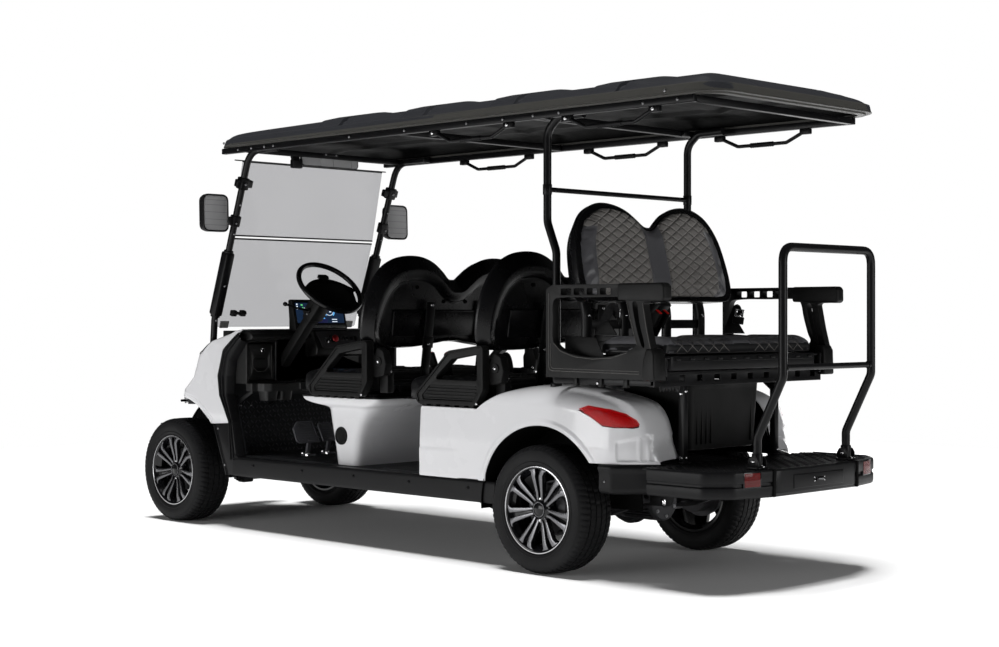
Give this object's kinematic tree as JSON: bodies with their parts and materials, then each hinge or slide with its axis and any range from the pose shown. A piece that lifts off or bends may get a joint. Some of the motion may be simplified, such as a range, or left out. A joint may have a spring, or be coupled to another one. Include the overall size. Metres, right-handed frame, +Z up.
{
  "type": "golf cart",
  "caption": "Open electric golf cart with forward-facing seat rows, a rear-facing flip seat over a step, a canopy, windshield, steered front wheels and free-rolling wheels.",
  "frame": {"origin": "on the ground, in the middle of the overall length and width", "axes": "+X forward, +Y to the left side, +Z up"},
  "size_m": [4.2699, 1.44, 2.1349],
  "materials": {
    "frame_black": "satin powder coat",
    "floor_black": "moulded mat",
    "trim_black": "fine grain",
    "body_white": "high gloss",
    "lamp_clear": "clear lens",
    "screen": "display",
    "pedal_grey": "ribbed",
    "grip_black": "soft grip",
    "glass_tint": "tinted acrylic",
    "mirror_shell": "satin",
    "roof_grey": "satin",
    "shell_black": "satin gloss",
    "vinyl_black": "smooth vinyl",
    "vinyl_grey": "quilted vinyl",
    "arm_black": "satin",
    "lamp_red": "lamp lens",
    "bin_black": "satin",
    "axle_steel": "painted",
    "axle_grey": "painted",
    "battery": "case",
    "alloy": "machined and black",
    "tyre": "rubber"
  },
  "bodies": {
    "cart": {"chassis_frame": "frame_black", "floor_pan": "floor_black", "sills": "trim_black", "front_cowl": "body_white", "door_surrounds": "trim_black", "front_bumper": "trim_black", "headlights": "lamp_clear", "dashboard": "trim_black", "dash_display": "screen", "pedals": "pedal_grey", "steering_column": "trim_black", "front_pillars": "frame_black", "windshield": "glass_tint", "mirrors": "mirror_shell", "roof": "roof_grey", "canopy_frame": "frame_black", "roof_handles": "frame_black", "front_seat_pod": "body_white", "seat_frames": "frame_black", "seat_backs": "shell_black", "seat_cushions": "vinyl_black", "seat_arms": "arm_black", "rear_body_shell": "body_white", "tail_lights": "lamp_red", "rear_corner_trims": "trim_black", "rear_seat_frame": "frame_black", "storage_bin": "bin_black", "rear_seat_back": "vinyl_grey", "rear_seat_arms": "arm_black", "rear_back_posts": "frame_black", "rear_step": "trim_black", "grab_bar": "frame_black", "front_axle": "axle_steel", "rear_axle": "axle_grey", "leaf_springs": "axle_steel", "battery_pack": "battery"},
    "steering": {"steering_wheel": "grip_black"},
    "left_hub": {"left_knuckle": "axle_steel"},
    "right_hub": {"right_knuckle": "axle_steel"},
    "front_left_wheel": {"front_left_rim": "alloy", "front_left_tyre": "tyre"},
    "front_right_wheel": {"front_right_rim": "alloy", "front_right_tyre": "tyre"},
    "rear_left_wheel": {"rear_left_rim": "alloy", "rear_left_tyre": "tyre"},
    "rear_right_wheel": {"rear_right_rim": "alloy", "rear_right_tyre": "tyre"},
    "rear_seat": {"rear_seat_deck": "arm_black", "rear_seat_cushion": "vinyl_grey"},
    "glovebox": {"glovebox_door": "trim_black"}
  },
  "joints": [
    {"name": "left_steer", "type": "hinge", "parent": "cart", "child": "left_hub", "pos_m": [1.695, 0.39, 0.28], "axis": [0, 0, 1], "range_deg": [-28, 28]},
    {"name": "right_steer", "type": "hinge", "parent": "cart", "child": "right_hub", "pos_m": [1.695, -0.39, 0.28], "axis": [0, 0, 1], "range_deg": [-28, 28]},
    {"name": "steering_wheel_turn", "type": "hinge", "parent": "cart", "child": "steering", "pos_m": [0.78, 0.27, 1.265], "axis": [-0.6947, 0, 0.7193], "range_deg": [-450, 450]},
    {"name": "front_left_spin", "type": "hinge", "parent": "left_hub", "child": "front_left_wheel", "pos_m": [1.695, 0.528, 0.28], "axis": [0, 1, 0], "continuous": true},
    {"name": "front_right_spin", "type": "hinge", "parent": "right_hub", "child": "front_right_wheel", "pos_m": [1.695, -0.528, 0.28], "axis": [0, 1, 0], "continuous": true},
    {"name": "rear_left_spin", "type": "hinge", "parent": "cart", "child": "rear_left_wheel", "pos_m": [-1.05, 0.538, 0.28], "axis": [0, 1, 0], "continuous": true},
    {"name": "rear_right_spin", "type": "hinge", "parent": "cart", "child": "rear_right_wheel", "pos_m": [-1.05, -0.538, 0.28], "axis": [0, 1, 0], "continuous": true},
    {"name": "rear_seat_flip", "type": "hinge", "parent": "cart", "child": "rear_seat", "pos_m": [-1.69, 0, 0.945], "axis": [0, -1, 0], "range_deg": [0, 180]},
    {"name": "glovebox_door", "type": "hinge", "parent": "cart", "child": "glovebox", "pos_m": [1.153, 0.425, 0.7755], "axis": [0, -1, 0], "range_deg": [0, 60]}
  ],
  "couplings": [
    {"joint": "right_steer", "follows": "left_steer", "ratio": 1},
    {"joint": "steering_wheel_turn", "follows": "left_steer", "ratio": 16}
  ]
}
